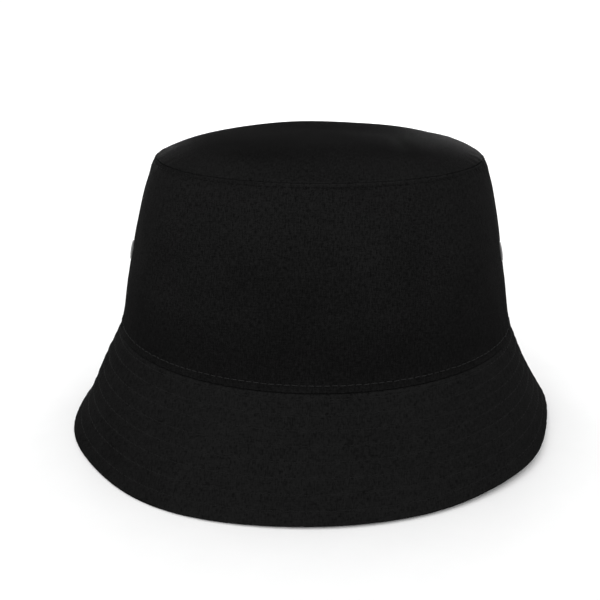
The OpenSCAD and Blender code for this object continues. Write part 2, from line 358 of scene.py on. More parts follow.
def tip_painted_light(turn, s, from_front):
    """The tip's painted light and shade: a paler front rim as painted sheen, a darker rear as painted shade.
    """
    # painted sheen: a paler front rim; painted shade: a darker rear
    painted_rim_light = (0.2 + 0.6 * smooth(np.abs(from_front) / 0.7)) * bump(from_front, 1.4) * bump(s - 89 * MM, 9 * MM)
    return painted_rim_light - 0.25 * smooth(np.sin(turn)) * smooth((s - TIP_S) / (6 * MM))


def under_relief(turn, s):
    """Height of the brim's under cloth, which the stitch rows pull up, with puckers of its own."""
    turn, s = np.broadcast_arrays(turn, s)
    below = -0.45 * brim_relief(turn + 0.7, np.minimum(s, -1e-6))
    return np.where(s < 0, below, relief(turn, np.maximum(s, 0)))


def nearest(turn):
    """The same angle between half a turn back and half a turn on."""
    return (turn + math.pi) % TAU - math.pi


def settle(points):
    """The hat's slight lean, the brim's uneven set and its soft waves. The hem still rests on the floor."""
    x, y, z = points.T
    turn = np.arctan2(y, x)
    down = np.clip((SEAM_Z - z) / SEAM_Z, 0, 1)
    up = np.clip((z - SEAM_Z) / (TIP_Z - SEAM_Z), 0, 1.2)
    flare = sum(far * bump(nearest(turn - at), wide) * down ** low for far, at, wide, low in FLARES)
    flare = flare - LEFT_TUCK * bump(nearest(turn - 3.05), 0.45) * bump(down - 0.8, 0.3)
    flare = flare - TIP_DRAWN_IN * smooth((z - TIP_Z + 16 * MM) / (14 * MM))
    out = 1 + flare / np.hypot(x, y).clip(50 * MM)
    right = smooth((np.cos(turn) - 0.35) / 0.65)
    right_front = smooth(np.cos(turn + 0.7) / 0.9)
    rear = smooth(1.5 * np.sin(turn))
    waves = 0.1 * MM + 0.2 * MM * (1 + np.cos(2 * turn - 0.9))
    lift = RIGHT_LIFT * right + RIGHT_FRONT_LIFT * right_front + REAR_LIFT * rear + waves
    aside = OFF_CENTRE + CROWN_LEAN * up - BRIM_SHIFT * smooth(1.6 * down)
    return np.stack([x * out + aside, y * out, z + lift * down ** 1.5], 1)


def place(turn, s, height):
    """Points over the hat's outer line: turn about the axis, s along the line and height outwards."""
    turn, s, height = np.broadcast_arrays(turn, s, height)
    r = radius(s) + height * np.interp(s, LINE_S, LINE_NR)
    z = np.interp(s, LINE_S, LINE_Z) + height * np.interp(s, LINE_S, LINE_NZ)
    points = np.stack([r * np.cos(turn), r * np.sin(turn), z], -1)
    return settle(points.reshape(-1, 3)).reshape(points.shape)


def unit(vectors):
    """The same directions at length 1."""
    return vectors / np.linalg.norm(vectors, axis=-1, keepdims=True)


def normal_at(turn, s, height):
    """The way out of the cloth at a place on it."""
    return unit(place(turn, s, height + 0.1 * MM) - place(turn, s, height))


# ---- meshes

def quads(rows, columns, around):
    """Four-cornered faces over a grid of points, which may close on itself."""
    i = np.arange(rows - 1)[:, None]
    j = np.arange(columns if around else columns - 1)[None, :]
    k = (j + 1) % columns
    corners = [i * columns + j, i * columns + k, (i + 1) * columns + k, (i + 1) * columns + j]
    return np.stack(np.broadcast_arrays(*corners), -1).reshape(-1, 4)


def skin(front, back, faces, flat):
    """A closed sheet between two grids of points that share their faces. flat is its cloth coordinates."""
    count = len(front)
    edges = np.concatenate([faces[:, [k, (k + 1) % 4]] for k in range(4)])
    key = edges[:, 0] * count + edges[:, 1]
    open_edges = edges[~np.isin(key, edges[:, 1] * count + edges[:, 0])]
    start, end = open_edges.T
    walls = np.stack([end, start, start + count, end + count], 1)
    every = np.concatenate([faces, faces[:, ::-1] + count, walls])
    return np.concatenate([front, back]), every, np.concatenate([flat, flat])


def solid(name, shells):
    """One mesh object from shells of (points, four-cornered faces, cloth coordinates, and a tone of wear and
    painted light if it has one).
    """
    points = np.concatenate([shell[0] for shell in shells])
    starts = np.cumsum([0] + [len(shell[0]) for shell in shells[:-1]])
    faces = np.concatenate([shell[1] + start for shell, start in zip(shells, starts)])
    flat = np.concatenate([shell[2] for shell in shells])
    fade = np.concatenate([shell[3] if len(shell) > 3 else np.ones(len(shell[0])) for shell in shells])
    mesh = bpy.data.meshes.new(name)
    mesh.vertices.add(len(points))
    mesh.vertices.foreach_set("co", points.astype(np.float32).ravel())
    mesh.loops.add(faces.size)
    mesh.loops.foreach_set("vertex_index", faces.astype(np.int32).ravel())
    mesh.polygons.add(len(faces))
    mesh.polygons.foreach_set("loop_start", np.arange(0, faces.size, 4, dtype=np.int32))
    mesh.polygons.foreach_set("use_smooth", np.ones(len(faces), bool))
    layer = mesh.uv_layers.new(name="cloth")
    layer.data.foreach_set("uv", flat[faces.ravel()].astype(np.float32).ravel())
    # This per-point tone scales the cloth's colour: part wear, part painted light and shade.
    mesh.attributes.new("fade", "FLOAT", "POINT").data.foreach_set("value", fade.astype(np.float32))
    mesh.update(calc_edges=True)
    mesh.validate()
    thing = bpy.data.objects.new(name, mesh)
    bpy.context.scene.collection.objects.link(thing)
    return thing


def run(points):
    """Distance along a path."""
    return np.concatenate([[0], np.cumsum(np.linalg.norm(np.diff(points, axis=0), axis=1))])


def straight(start, end, step):
    """A straight stretch of a path in (s, depth) without its last point."""
    start, end = np.array(start, float), np.array(end, float)
    count = max(1, int(math.ceil(np.linalg.norm(end - start) / step)))
    return start + (end - start) * (np.arange(count) / count)[:, None]


def eased(start, end, count=8):
    """A path from one depth to another in a soft S, without its last point."""
    t = np.arange(count) / count
    return np.stack([start[0] + (end[0] - start[0]) * t, start[1] + (end[1] - start[1]) * smooth(t)], 1)


def folded(s, depth_from, depth_to, way, count=7):
    """A fold of the cloth from one depth to another that bulges towards +s or -s, without its last point."""
    angle = math.pi * np.arange(count) / count
    middle_depth, half = (depth_from + depth_to) / 2, (depth_from - depth_to) / 2
    return np.stack([s + way * abs(half) * np.sin(angle), middle_depth + half * np.cos(angle)], 1)


def at_stops(stops, depth):
    """A stretch of a path at one depth through given places along s."""
    return np.stack([stops, np.full(len(stops), depth)], 1)


def graded(low, high, places, coarse, fine, spread):
    """Places from low to high, fine apart near some of them and coarse apart elsewhere. high is left out."""
    dense = np.linspace(low, high, 4000)
    near = np.max([bump(dense - place, spread) for place in places], axis=0)
    pace = np.concatenate([[0], np.cumsum(1 / (coarse + (fine - coarse) * near[:-1]))])
    count = int(math.ceil(pace[-1] * (high - low) / 3999))
    return np.interp(np.linspace(0, pace[-1], count + 1)[:-1], pace, dense)


def cone(path, turn, fullness):
    """Cloth coordinates of a panel cut as a flat ring sector, which narrows along a path that goes up."""
    start = radius(path[0, 0]) / fullness
    way = -1 if path[-1, 0] > path[0, 0] else 1
    apart = (start + way * run(path))[:, None]
    return np.stack([apart * np.sin(fullness * turn), apart * np.cos(fullness * turn)], -1)


def strip(path, turn):
    """Cloth coordinates of a straight strip."""
    long = turn * radius(path[:, 0]).mean() + 0 * path[:, :1]
    return np.stack([long, run(path)[:, None] + 0 * turn], -1)


def disc(path, turn):
    """Cloth coordinates of a round panel."""
    out = run(path)[:, None]
    return np.stack([out * np.cos(turn), out * np.sin(turn)], -1)


def swept(path, thickness, turns, field, around=False, cut=strip, holes=()):
    """A closed sheet along a path and round the hat. field raises it over the outer line, cut gives its cloth
    coordinates, and holes are (turn, s, radius) to leave open."""
    along = unit(np.gradient(path, axis=0))
    side = np.stack([along[:, 1], -along[:, 0]], 1) * thickness / 2
    turn = turns[None, :]
    raised = field(turn, path[:, :1])
    layers = []
    for sign in (1, -1):
        s, depth = (path + sign * side).T[:, :, None]
        layers.append(place(turn, s, raised - depth).reshape(-1, 3))
    faces = quads(len(path), len(turns), around)
    for hole_turn, hole_s, hole_r in holes:
        grid = np.broadcast_arrays(turn, path[:, :1])
        face_turn, face_s = (places.reshape(-1)[faces].mean(1) for places in grid)
        x = (face_turn - hole_turn) * radius(hole_s)
        faces = faces[np.hypot(x, face_s - hole_s) > hole_r]
    flat = np.broadcast_to(cut(path, turn), (len(path), len(turns), 2)).reshape(-1, 2)
    fade = cloth_tone_and_painted_light(turn, path[:, :1]).ravel()
    return (*skin(*layers, faces, flat), np.tile(fade, 2))


def arc(middle_turn, count):
    """Turns of half a hat, from side seam to side seam, closer together at the seams."""
    half = math.pi / 2 - 0.0002
    even = np.linspace(-1, 1, count)
    near_seam = 1 - np.array([0.0, 0.002, 0.004, 0.007])
    return middle_turn + half * np.unique(np.concatenate([even[1:-1], near_seam, -near_seam]))


THREAD_SIDES = 8
THREAD_END = np.array([[0, 1, 2, 3], [0, 3, 4, 5], [0, 5, 6, 7]])


def tube(centres, normals, radii, flat_length):
    """Threads as closed tubes. centres and normals are (stitches, rings, 3), radii one for each ring."""
    along = unit(np.gradient(centres, axis=1))
    across = unit(np.cross(along, normals))
    up = np.cross(across, along)
    angle = TAU * np.arange(THREAD_SIDES) / THREAD_SIDES
    spokes = np.cos(angle)[:, None] * across[:, :, None] + np.sin(angle)[:, None] * up[:, :, None]
    points = centres[:, :, None] + radii[None, :, None, None] * spokes
    threads, rings = centres.shape[:2]
    faces = quads(rings, THREAD_SIDES, True)[:, ::-1]
    last = THREAD_END[:, ::-1] + (rings - 1) * THREAD_SIDES
    one = np.concatenate([faces, THREAD_END, last])
    starts = np.arange(threads) * rings * THREAD_SIDES
    every = (one[None] + starts[:, None, None]).reshape(-1, 4)
    u = np.broadcast_to(np.linspace(0, flat_length, rings)[None, :, None], points.shape[:3])
    v = np.broadcast_to((THREAD * angle / 2)[None, None, :], points.shape[:3])
    return points.reshape(-1, 3), every, np.stack([u, v], -1).reshape(-1, 2)


RINGS = np.linspace(0, 1, 9)
THREAD_RADII = THREAD / 2 * (1 - 0.75 * np.abs(2 * RINGS - 1) ** 5)


def sewn(turn_of, s_of, count, field, depth, inside=False, seed=0):
    """A line of stitches whose ends dip into the cloth. turn_of and s_of give its place from 0 to 1, depth is
    how far behind the outer line it lies, and inside turns it to the hat's inner face."""
    rng = np.random.default_rng(seed)
    start = (np.arange(count)[:, None] + 0.5 * inside) / count
    q = start + (0.05 + 0.90 * RINGS[None, :]) / count
    slant = rng.normal(0, 0.05 * MM, (count, 1)) * (RINGS - 0.5) * 2
    shift = rng.normal(0, 0.03 * MM, (count, 1))
    turn = turn_of(q)
    s = s_of(q) + (slant + shift)
    over = (0.1 + rng.normal(0, 0.02, (count, 1))) * MM - 0.34 * MM * np.abs(2 * RINGS - 1) ** 3.0
    way = -1 if inside else 1
    height = field(turn, s) - depth + way * over
    centres = place(turn, s, height)
    return tube(centres, way * normal_at(turn, s, height), THREAD_RADII, STITCH)


def ring_sewn(row, field, depth, inside=False, seed=0):
    """A stitch line right round the hat at s."""
    count = stitches_round(row)
    return sewn(lambda q: REAR + TAU * q, lambda q: row + 0 * q, count, field, depth, inside, seed)


def turned_on_axis(profile, centre, axis, segments=72):
    """A closed ring turned from a closed outline in (radius, height along axis)."""
    axis = Vector(axis).normalized()
    across = Vector((0, 0, 1)).cross(axis).normalized()
    up = axis.cross(across)
    angle = TAU * np.arange(segments) / segments
    spokes = np.cos(angle)[:, None] * np.array(across) + np.sin(angle)[:, None] * np.array(up)
    out, along = profile.T[:, :, None, None]
    points = np.array(centre) + out * spokes + along * np.array(axis)
    rows = len(profile)
    faces = quads(rows, segments, True)
    last = quads(2, segments, True)
    last = np.where(last < segments, last + (rows - 1) * segments, last - segments)
    flat = np.stack(np.broadcast_arrays(run(profile)[:, None], 4 * MM * angle[None, :]), -1).reshape(-1, 2)
    return points.reshape(-1, 3), np.concatenate([faces, last]), flat


def dress(name, shells, material, nodes, body="hat"):
    """Makes a piece, gives it its material and its body, and takes its CAD nodes out of sight."""
    thing = solid(name, shells)
    thing.data.materials.append(material)
    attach(thing, body)
    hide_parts(*nodes)
    return thing


# ---- materials

class Nodes:
    """A short way to write a material's node tree."""

    def __init__(self, name):
        self.material = bpy.data.materials.new(name)
        self.material.use_nodes = True
        self.tree = self.material.node_tree
        self.shader = self.tree.nodes["Principled BSDF"]

    def add(self, kind, settings=(), **inputs):
        node = self.tree.nodes.new(kind)
        for key, value in dict(settings).items():
            setattr(node, key, value)
        for key, value in inputs.items():
            self.feed(node.inputs[key.replace("_", " ")], value)
        return node

    def feed(self, socket, value):
        if isinstance(value, bpy.types.NodeSocket):
            self.tree.links.new(value, socket)
        else:
            socket.default_value = value

    def math(self, operation, *values):
        node = self.add("ShaderNodeMath", {"operation": operation})
        for socket, value in zip(node.inputs, values):
            self.feed(socket, value)
        return node.outputs[0]

    def times(self, first, *others):
        for other in others:
            first = self.math("MULTIPLY", first, other)
        return first

    def cosine(self, value, period):
        return self.math("COSINE", self.times(value, TAU / period))

    def noise(self, vector, scale, detail=3.0, roughness=0.55):
        node = self.add("ShaderNodeTexNoise", Vector=vector, Scale=scale, Detail=detail, Roughness=roughness)
        return node.outputs["Fac"]

    def drawn_out(self, uv, along, across, detail, roughness=0.55):
        """Noise drawn out along the cloth, with its own scale along each cloth coordinate."""
        scaled = self.add("ShaderNodeMapping", Vector=uv, Scale=(along, across, 1.0)).outputs[0]
        return self.noise(scaled, 1.0, detail, roughness)

    def ranged(self, value, low, high, to_low, to_high):
        node = self.add("ShaderNodeMapRange", Value=value)
        limits = {"From Min": low, "From Max": high, "To Min": to_low, "To Max": to_high}
        for key, number in limits.items():
            node.inputs[key].default_value = number
        return node.outputs[0]

    def mixed(self, factor, first, second):
        node = self.add("ShaderNodeMix", {"data_type": "RGBA"})
        self.feed(node.inputs[0], factor)
        self.feed(node.inputs[6], first)
        self.feed(node.inputs[7], second)
        return node.outputs[2]

    def bumped(self, height, distance, strength=1.0, below=None):
        node = self.add("ShaderNodeBump", Height=height, Distance=distance, Strength=strength)
        if below is not None:
            self.feed(node.inputs["Normal"], below)
        return node.outputs["Normal"]

    def cloth_uv(self):
        layer = self.add("ShaderNodeUVMap", {"uv_map": "cloth"})
        parts = self.add("ShaderNodeSeparateXYZ", Vector=layer.outputs[0])
        return layer.outputs[0], parts.outputs[0], parts.outputs[1]

    def local(self):
        return self.add("ShaderNodeTexCoord").outputs["Object"]

    def fade(self):
        return self.add("ShaderNodeAttribute", {"attribute_name": "fade"}).outputs["Fac"]

    def finish(self, **inputs):
        for key, value in inputs.items():
            self.feed(self.shader.inputs[key.replace("_", " ")], value)
        return self.material


def grey(level):
    """A neutral colour."""
    return (level, level, level, 1)


def twill_material(name, dark, light, wale=0.52 * MM, lean=1.0):
    """Cotton twill: slanting wales cut into short floats, uneven yarns, lint, and a tone attribute that holds
    wear and painted light and shade.
    """
    n = Nodes(name)
    uv, u, v = n.cloth_uv()
    spot = n.local()
    wander = n.ranged(n.noise(spot, 900.0, 2.0), 0.3, 0.7, -0.13 * wale, 0.13 * wale)
    slope = n.math("ADD", n.math("ADD", u, n.times(v, lean)), wander)
    ribs = n.ranged(n.cosine(slope, wale), -0.7, 0.9, 0, 1)
    yarn = n.cosine(n.math("SUBTRACT", v, n.times(u, 0.35)), 0.62 * wale)
    weave = n.times(ribs, n.ranged(yarn, -1.0, 0.6, 0.55, 1.0))
    slub = n.drawn_out(uv, 1500.0, 230.0, 3.0)
    lint = n.ranged(n.noise(spot, 5200.0, 4.0, 0.7), 0.35, 0.75, 0, 1)
    cloudy = n.ranged(n.noise(spot, 45.0, 4.0, 0.6), 0.3, 0.7, 0, 1)
    tone = n.times(n.ranged(weave, 0, 1, 0.35, 1.0), n.ranged(slub, 0.3, 0.7, 0.65, 1.25))
    tone = n.times(tone, n.ranged(cloudy, 0, 1, 0.8, 1.12))
    warp = n.times(n.drawn_out(uv, 1900.0, 480.0, 2.0, 0.65), 0.55)
    weft = n.times(n.drawn_out(uv, 520.0, 1700.0, 2.0, 0.65), 0.45)
    mottled = n.ranged(n.math("ADD", warp, weft), 0.38, 0.62, 0.25, 1.65)
    # the tone attribute multiplies in wear and painted light and shade
    tone = n.times(tone, mottled, n.fade())
    tone = n.math("ADD", tone, n.times(n.math("POWER", lint, 4.0), 0.3))
    colour = n.mixed(tone, grey(dark), grey(light))
    rough = n.ranged(weave, 0, 1, 0.7, 0.5)
    fuzz = n.bumped(lint, 0.05 * MM, 0.5)
    woven = n.bumped(weave, 0.11 * MM, 0.75, fuzz)
    yarned = n.bumped(slub, 0.05 * MM, 0.5, woven)
    return n.finish(Base_Color=colour, Roughness=rough, Normal=yarned, Specular_IOR_Level=0.0007)


def tape_material(name, dark, light):
    """A narrow plain-woven tape: fine warp and weft."""
    n = Nodes(name)
    _, u, v = n.cloth_uv()
    weave = n.ranged(n.times(n.cosine(v, 0.45 * MM), n.cosine(u, 0.6 * MM)), -1.0, 1.0, 0, 1)
    uneven = n.noise(n.local(), 700.0, 3.0)
    colour = n.mixed(n.times(weave, n.ranged(uneven, 0.3, 0.7, 0.7, 1.1)), grey(dark), grey(light))
    rough = n.ranged(weave, 0, 1, 0.9, 0.7)
    normal = n.bumped(weave, 0.1 * MM, 0.8, n.bumped(uneven, 0.05 * MM, 0.4))
    return n.finish(Base_Color=colour, Roughness=rough, Normal=normal, Specular_IOR_Level=0.2,
                    Sheen_Weight=0.1)


def felt_material(name):
    """Non-woven interlining: pale pressed fibres with a grid of bonding dots."""
    n = Nodes(name)
    uv, u, v = n.cloth_uv()
    dot = n.ranged(n.times(n.cosine(u, 1.6 * MM), n.cosine(v, 1.6 * MM)), 0.6, 0.9, 0, 1)
    fibres = n.drawn_out(uv, 900.0, 4200.0, 5.0, 0.7)
    colour = n.mixed(n.ranged(fibres, 0.3, 0.7, 0, 1), grey(0.55), grey(0.74))
    rough = n.ranged(dot, 0, 1, 0.9, 0.6)
    normal = n.bumped(dot, -0.08 * MM, 0.8, n.bumped(fibres, 0.1 * MM, 0.7))
    return n.finish(Base_Color=colour, Roughness=rough, Normal=normal, Specular_IOR_Level=0.25)


def thread_material(name, dark, light):
    """Three-ply sewing thread: plies twisted round its length, fuzz, and a tone set for each piece, which for
    the tip's stitches is painted shade.
    """
    plies = 3
    n = Nodes(name)
    _, u, v = n.cloth_uv()
    twist = n.math("ADD", n.times(u, TAU / (1.1 * MM)), n.times(v, 2 * plies / THREAD))
    ply = n.ranged(n.math("COSINE", twist), -1.0, 1.0, 0, 1)
    fuzz = n.noise(n.local(), 6000.0, 3.0)
    tone = n.times(ply, n.ranged(fuzz, 0.3, 0.7, 0.7, 1.1), n.fade())
    colour = n.mixed(tone, grey(dark), grey(light))
    rough = n.ranged(ply, 0, 1, 0.75, 0.55)
    normal = n.bumped(ply, 0.07 * MM, 0.9, n.bumped(fuzz, 0.02 * MM, 0.4))
    return n.finish(Base_Color=colour, Roughness=rough, Normal=normal, Specular_IOR_Level=0.015)


def enamel_material(name):
    """Satin black enamel over brass: fine orange peel, handling scuffs and edges rubbed a little paler."""
    n = Nodes(name)
    spot = n.local()
    peel = n.noise(spot, 3200.0, 2.0)
    scuffs = n.ranged(n.noise(spot, 1100.0, 5.0, 0.7), 0.52, 0.7, 0, 1)
    pointed = n.add("ShaderNodeNewGeometry").outputs["Pointiness"]
    worn = n.times(n.ranged(pointed, 0.52, 0.6, 0, 1), n.ranged(scuffs, 0, 1, 0.3, 1.0))
    colour = n.mixed(worn, grey(0.008), grey(0.035))
    rough = n.math("ADD", n.ranged(peel, 0.3, 0.7, 0.26, 0.34), n.times(scuffs, 0.12))
    normal = n.bumped(peel, 0.03 * MM, 0.3)
    return n.finish(Base_Color=colour, Roughness=rough, Normal=normal, Specular_IOR_Level=0.5,
                    Coat_Weight=0.35, Coat_Roughness=0.22)


def satin_material(name):
    """Black satin label tape: long shiny floats and fine cross ribs."""
    n = Nodes(name)
    uv, _, v = n.cloth_uv()
    ribs = n.cosine(v, 0.3 * MM)
    floats = n.drawn_out(uv, 3800.0, 420.0, 3.0)
    colour = n.mixed(n.ranged(floats, 0.3, 0.7, 0, 1), grey(0.012), grey(0.03))
    rough = n.ranged(floats, 0.3, 0.7, 0.34, 0.5)
    normal = n.bumped(ribs, 0.03 * MM, 0.5, n.bumped(floats, 0.04 * MM, 0.4))
    return n.finish(Base_Color=colour, Roughness=rough, Normal=normal, Specular_IOR_Level=0.5,
                    Anisotropic=0.6, Sheen_Weight=0.1)


def floor_material(name):
    """A matt white studio board with a trace of grain."""
    n = Nodes(name)
    grain = n.noise(n.local(), 60.0, 4.0)
    colour = n.mixed(n.ranged(grain, 0.3, 0.7, 0, 1), grey(0.965), grey(0.98))
    normal = n.bumped(grain, 0.02 * MM, 0.1)
    return n.finish(Base_Color=colour, Roughness=0.9, Normal=normal, Specular_IOR_Level=0.1)


twill = twill_material("black_twill", 0.0026, 0.0115)
band_twill = twill_material("sweatband_twill", 0.003, 0.011, 0.42 * MM, -1.0)
tape = tape_material("black_tape", 0.003, 0.012)
felt = felt_material("interlining")
thread = thread_material("black_thread", 0.0035, 0.034)
enamel = enamel_material("black_enamel")
satin = satin_material("label_satin")


# ---- the cloth
# Each path is a cut through one piece of cloth, in (s, depth).

def side_crown_path():
    """From the allowance turned up inside the brim seam, up the outside, and turned in under the tip seam."""
    low, high = 0.34 * MM, TIP_S - 0.4 * MM
    eyelet_s = EYELETS["left_front"][1]
    marks = [0.8 * MM, BASE_STITCH, TIP_STITCH, high]
    stops = graded(low, high, marks, 1.9 * MM, 0.36 * MM, 1.6 * MM)
    near = np.arange(eyelet_s - 5 * MM, eyelet_s + 5 * MM, 0.9 * MM)
    stops = np.sort(np.concatenate([stops[np.abs(stops - eyelet_s) > 5.6 * MM], near]))
    return np.concatenate([
        straight((low + TURN_IN, SECOND), (low, SECOND), 2.2 * MM),
        folded(low, SECOND, FIRST, -1),
        at_stops(stops, FIRST),
        folded(high, FIRST, SECOND, 1),
        straight((high, SECOND), (high - TIP_TURN_IN, SECOND), 2.2 * MM),
    ])


def brim_upper_path():
    """From the allowance inside the crown, out at the seam, down the outside, and turned in at the hem."""
    low = HEM_S + 0.6 * MM
    stops = graded(low, -1.2 * MM, ROWS, 1.05 * MM, 0.5 * MM, 1.1 * MM)[::-1]
    return np.concatenate([
        straight((TURN_IN, THIRD), (-0.1 * MM, THIRD), 2.2 * MM),
        eased((-0.1 * MM, THIRD), (-1.2 * MM, FIRST)),
        at_stops(stops, FIRST),
        folded(low, FIRST, SECOND, -1),
        straight((low, SECOND), (low + TURN_IN, SECOND), 2.2 * MM),
    ])


def brim_under_path():
    """From the allowance inside the crown, down behind the interlining, and turned in at the hem."""
    low = HEM_S + 1.5 * MM
    step_at = HEM_S + TURN_IN + 1 * MM
    stops = graded(step_at + 3 * MM, -2.6 * MM, ROWS, 1.3 * MM, 0.6 * MM, 1.1 * MM)[::-1]
    return np.concatenate([
        straight((TURN_IN, FOURTH), (-0.9 * MM, FOURTH), 2.2 * MM),
        eased((-0.9 * MM, FOURTH), (-2.6 * MM, BRIM_UNDER), 6),
        at_stops(stops, BRIM_UNDER),
        eased((step_at + 3 * MM, BRIM_UNDER), (step_at, FOURTH), 6),
        straight((step_at, FOURTH), (low, FOURTH), 0.9 * MM),
        folded(low, FOURTH, THIRD, -1),
        straight((low, THIRD), (low + TURN_IN - 1 * MM, THIRD), 2.2 * MM),
    ])


def stiffener_path():
    """Down the brim from its seam to the cloth turned in at the hem."""
    return straight((-2.8 * MM, BRIM_CORE), (HEM_S + TURN_IN + 1.5 * MM, BRIM_CORE), 0.9 * MM)


def tip_path():
    """From near the middle of the dome out to the tip seam, and turned down inside the side crown."""
    corner = TIP_S + 0.62 * MM
    stops = graded(corner, TOP_S - 0.4 * MM, [corner, corner + 2 * MM], 1.6 * MM, 0.45 * MM, 2.5 * MM)[::-1]
    return np.concatenate([
        at_stops(np.append(TOP_S - 0.4 * MM, stops[:-1]), FIRST),
        [[corner, FIRST], [corner - 0.08 * MM, FIRST + 0.3 * MM], [corner - 0.1 * MM, SECOND]],
        [[corner - 0.16 * MM, SECOND + 0.3 * MM], [corner - 0.45 * MM, THIRD - 0.05 * MM]],
        straight((corner - 0.9 * MM, THIRD), (corner - TIP_TURN_IN, THIRD), 1.6 * MM),
    ])


def sweatband_path():
    """Up behind the band, over its folded upper edge, and down its face to the brim seam."""
    high = BAND_TOP - 0.4 * MM
    return np.concatenate([
        straight((high - 5 * MM, FOURTH), (high, FOURTH), 1.2 * MM),
        folded(high, FOURTH, BAND, 1),
        straight((high, BAND), (0.1 * MM, BAND), 0.9 * MM),
    ])


def tip_tape_path():
    """Up behind the side crown's turned-in edge, then behind the tip's."""
    under, over = 2 * LAYER + TAPE / 2, 3 * LAYER + TAPE / 2
    return np.concatenate([
        straight((TAPE_LOW, under), (TAPE_LOW + 3 * MM, under), 0.8 * MM),
        eased((TAPE_LOW + 3 * MM, under), (TAPE_LOW + 5 * MM, over), 4),
        straight((TAPE_LOW + 5 * MM, over), (TAPE_HIGH, over), 0.8 * MM),
    ])


def side_tape_path():
    """Up behind a side seam, from the sewn-in brim to the tip tape."""
    depth = 2 * LAYER + TAPE / 2
    return straight((TURN_IN + 0.5 * MM, depth), (TAPE_LOW - 0.5 * MM, depth), 1.5 * MM)


def band_field(turn, s):
    """The sweatband's height: it follows the crown, and its end laps over its start at the rear."""
    lap = smooth((turn - REAR - TAU + 0.1) / 0.03)
    return 0.6 * relief(turn, s) - LAYER * lap - 0.12 * MM * (1 + 0.5 * ripples(51, turn, s, 5, 24, 20))


def panel(name, node, path, count, field, fullness, middle_turn, material=twill,
          thickness=TWILL, holes=()):
    """A half-ring panel of cloth with count points round it, whose cloth coordinates are those of the cone it
    is cut from.
    """

    def cut(path, turn):
        return cone(path, turn - middle_turn, fullness)

    shell = swept(path, thickness, arc(middle_turn, count), field, False, cut, holes)
    piece = dress(name, [shell], material, [node])


for end, turn in HALVES.items():
    eyelets = [(*spot, EYELET_CUT) for name, spot in EYELETS.items() if name.endswith(end)]
    panel(f"side_crown_cloth_{end}", f"side_crown_{end}", side_crown_path(), 500, relief, CROWN_CONE, turn,
          holes=eyelets)
    panel(f"brim_upper_cloth_{end}", f"brim_upper_{end}", brim_upper_path(), 500, relief, BRIM_CONE, turn)
    panel(f"brim_under_cloth_{end}", f"brim_under_{end}", brim_under_path(), 420, under_relief, BRIM_CONE,
          turn)
    panel(f"brim_interlining_{end}", f"brim_stiffener_{end}", stiffener_path(), 240, relief, BRIM_CONE, turn,
          felt, 0.25 * MM)


def tip_shell(path, columns):
    """The tip: a domed disc whose small middle opening is filled."""
    turns = TAU * np.arange(columns) / columns
    points, faces, flat, fade = swept(path, TWILL, turns, relief, True, disc)
    count = len(path) * columns
    is_wall = (faces < columns).any(1) & ((faces >= count) & (faces < count + columns)).any(1)
    faces = faces[~is_wall]
    ring = np.arange(columns)
    points = np.concatenate([points, points[ring].mean(0)[None], points[ring + count].mean(0)[None]])
    flat = np.concatenate([flat, np.zeros((2, 2))])
    first, second, third = ring[::2], ring[1::2], (ring[::2] + 2) % columns
    front = np.stack([np.full(len(first), 2 * count), third, second, first], 1)
    back = np.stack([np.full(len(first), 2 * count + 1), first + count, second + count, third + count], 1)
    return points, np.concatenate([faces, front, back]), flat, np.append(fade, [fade[0], fade[0]])


tip_piece = dress("tip_cloth", [tip_shell(tip_path(), 640)], twill, ["crown_tip"])

BAND_LAP = 0.02
band_turns = np.linspace(REAR - BAND_LAP, REAR + TAU, 620)
band_shell = swept(sweatband_path(), TWILL, band_turns, band_field)
band_piece = dress("sweatband_cloth", [band_shell], band_twill, ["sweatband"])

ring_turns = TAU * np.arange(480) / 480
tape_shell = swept(tip_tape_path(), TAPE, ring_turns, relief, True)
tape_piece = dress("tip_tape", [tape_shell], tape, ["tip_seam_tape"])

HALF_TAPE = 0.082
for side, turn in SIDES.items():
    turns = turn + np.linspace(-HALF_TAPE, HALF_TAPE, 26)
    shell = swept(side_tape_path(), TAPE, turns, relief)
    piece = dress(f"side_tape_{side}", [shell], tape, [f"side_seam_tape_{side}"])


# ---- the stitching

def thread_piece(name, shells, node, fade=0.52):
    """Stitches as one piece. The last number sets the thread's tone, from 0 darkest to 1 palest."""
    shells = [(*shell, np.full(len(shell[0]), fade)) for shell in shells]
    return dress(name, shells, thread, [node])


for number, row in enumerate(ROWS, 1):
    in_hem = row < HEM_S + TURN_IN
    back = FOURTH + TWILL / 2 if in_hem else BRIM_BACK
    thread_piece(f"brim_stitches_{number}", [
        ring_sewn(row, relief, 0, False, number),
        ring_sewn(row, under_relief, back, True, 20 + number),
    ], f"brim_stitch_row_{number}")

thread_piece("crown_base_stitches", [
    ring_sewn(BASE_STITCH, relief, 0, False, 40),
    ring_sewn(BASE_STITCH, band_field, BAND + TWILL / 2, True, 41),
], "crown_base_topstitch", 1.0)
# painted shade: the tip stitches' near-black tone 0.05 stands in for the shade in their stitch holes
thread_piece("tip_stitches", [
    ring_sewn(TIP_STITCH, relief, 0.14 * MM, False, 42),
], "tip_topstitch", 0.05)
thread_piece("sweatband_stitches", [
    ring_sewn(BAND_STITCH, band_field, BAND + TWILL / 2, True, 43),
], "sweatband_topstitch")


def side_stitches(turn, way, seed):
    """One stitch line up the side crown, beside a side seam."""
    low, high = BASE_STITCH + 1 * MM, TIP_STITCH - 1 * MM
    count = int((high - low) / STITCH)

    def s_of(q):
        return low + (high - low) * q

    return sewn(lambda q: turn + way * SIDE_STITCH / radius(s_of(q)), s_of, count, relief, 0, False, seed)


for side, turn in SIDES.items():
    both = [side_stitches(turn, way, 50 + way) for way in (-1, 1)]
    thread_piece(f"side_stitches_{side}", both, f"side_topstitch_{side}")


# ---- eyelets, washers and label

